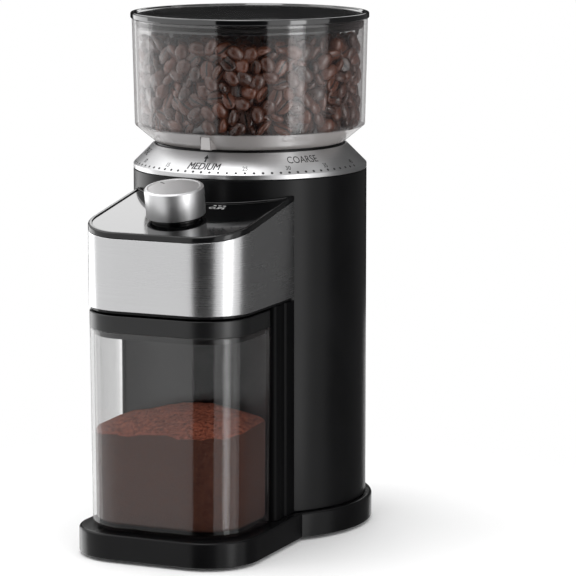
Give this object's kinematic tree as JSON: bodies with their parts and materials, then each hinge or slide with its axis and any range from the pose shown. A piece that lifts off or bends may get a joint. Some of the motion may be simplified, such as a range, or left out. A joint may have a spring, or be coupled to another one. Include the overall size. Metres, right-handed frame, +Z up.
{
  "type": "burr coffee grinder",
  "caption": "Upright conical burr coffee grinder: clear bean hopper over a round column, stainless head with a selector knob, and a clear sliding bin for the grounds.",
  "frame": {"origin": "centre of the footprint at the bottom of the feet", "axes": "+Z up along the burr axis, -Y to the front where the bin pulls out, +X to the right seen from the front"},
  "size_m": [0.1474, 0.2172, 0.3076],
  "materials": {
    "body_black": "satin black moulded plastic",
    "gloss_black": "polished black plastic",
    "brushed_steel": "stainless steel brushed along the band",
    "scale_aluminium": "satin turned ring with printed scale",
    "knob_aluminium": "satin turned knob with bright edge",
    "smoke_clear": "smoke-tinted clear plastic",
    "rubber": "matte black rubber",
    "grey_plastic": "dark grey glass-filled plastic",
    "white_plastic": "natural acetal plastic",
    "dark_steel": "machined and hardened steel",
    "brass": "machined brass",
    "magnet": "ferrite",
    "board_green": "glass-epoxy circuit board"
  },
  "bodies": {
    "chassis": {"base_plate": "body_black", "bottom_cover": "grey_plastic", "column_shell": "body_black", "top_deck": "grey_plastic", "scale_ring": "scale_aluminium", "spine_panel": "body_black", "cord_inlet": "rubber", "head_housing": "body_black", "steel_band": "brushed_steel", "top_bezel": "body_black", "control_panel": "gloss_black", "knob_collar": "body_black", "selector_switch": "grey_plastic", "grinding_chamber": "grey_plastic", "shaft_seal": "rubber", "grounds_chute": "grey_plastic", "gearbox_housing": "grey_plastic", "gearbox_cover": "grey_plastic", "lower_bearing": "dark_steel", "upper_bearing": "dark_steel", "idler_pin": "dark_steel", "motor_can": "dark_steel", "motor_end_cap": "grey_plastic", "magnet_left": "magnet", "magnet_right": "magnet", "motor_cradle": "grey_plastic", "motor_damper": "rubber", "circuit_board": "board_green", "hopper_switch": "grey_plastic", "foot_front_left": "rubber", "cover_screw_front_left": "dark_steel", "foot_front_right": "rubber", "cover_screw_front_right": "dark_steel", "foot_rear_left": "rubber", "cover_screw_rear_left": "dark_steel", "foot_rear_right": "rubber", "cover_screw_rear_right": "dark_steel", "deck_screw_1": "dark_steel", "deck_screw_2": "dark_steel", "deck_screw_3": "dark_steel"},
    "adjuster": {"adjust_ring": "body_black"},
    "hopper": {"hopper": "smoke_clear"},
    "lid": {"hopper_lid": "gloss_black", "lid_gasket": "rubber"},
    "ring_burr_carrier": {"burr_carrier": "grey_plastic", "ring_burr": "dark_steel"},
    "burr_drive": {"drive_shaft": "dark_steel", "final_gear": "dark_steel", "cone_burr": "dark_steel", "impeller": "white_plastic", "burr_nut": "brass"},
    "idler": {"idler_gear": "white_plastic"},
    "rotor": {"motor_armature": "dark_steel", "motor_pinion": "brass", "cooling_fan": "white_plastic"},
    "selector": {"selector_shaft": "grey_plastic"},
    "knob": {"knob": "knob_aluminium"},
    "bin": {"grounds_bin": "smoke_clear", "bin_lid": "body_black"}
  },
  "joints": [
    {"name": "grind_adjust", "type": "hinge", "parent": "chassis", "child": "adjuster", "pos_m": [0, 0.0348, 0.22], "axis": [0, 0, 1], "range_deg": [-84, 66]},
    {"name": "burr_height", "type": "slide", "parent": "chassis", "child": "ring_burr_carrier", "axis": [0, 0, 1], "range_m": [-0.0009, 0.0008]},
    {"name": "hopper_lift", "type": "slide", "parent": "adjuster", "child": "hopper", "axis": [0, 0, 1], "range_m": [0, 0.1]},
    {"name": "lid_lift", "type": "slide", "parent": "hopper", "child": "lid", "axis": [0, 0, 1], "range_m": [0, 0.06]},
    {"name": "motor_spin", "type": "hinge", "parent": "chassis", "child": "rotor", "pos_m": [0, 0.0548, 0.09], "axis": [0, 0, 1], "continuous": true},
    {"name": "idler_spin", "type": "hinge", "parent": "chassis", "child": "idler", "pos_m": [0.02953, 0.04952, 0.14], "axis": [0, 0, 1], "continuous": true},
    {"name": "burr_spin", "type": "hinge", "parent": "chassis", "child": "burr_drive", "pos_m": [0, 0.0348, 0.16], "axis": [0, 0, 1], "continuous": true},
    {"name": "cup_select", "type": "hinge", "parent": "chassis", "child": "selector", "pos_m": [0, -0.0672, 0.19568], "axis": [0, -0.1712, 0.9852], "range_deg": [-195, 105]},
    {"name": "start_press", "type": "slide", "parent": "selector", "child": "knob", "axis": [0, 0.1712, -0.9852], "range_m": [0, 0.002], "stiffness_N_per_m": 600, "springref_m": -0.002},
    {"name": "bin_slide", "type": "slide", "parent": "chassis", "child": "bin", "axis": [0, -1, 0], "range_m": [0, 0.15]}
  ],
  "couplings": [
    {"joint": "idler_spin", "follows": "motor_spin", "ratio": -0.33333},
    {"joint": "burr_spin", "follows": "motor_spin", "ratio": 0.098039},
    {"joint": "burr_height", "follows": "grind_adjust", "m_per_rad": 0.0006}
  ]
}
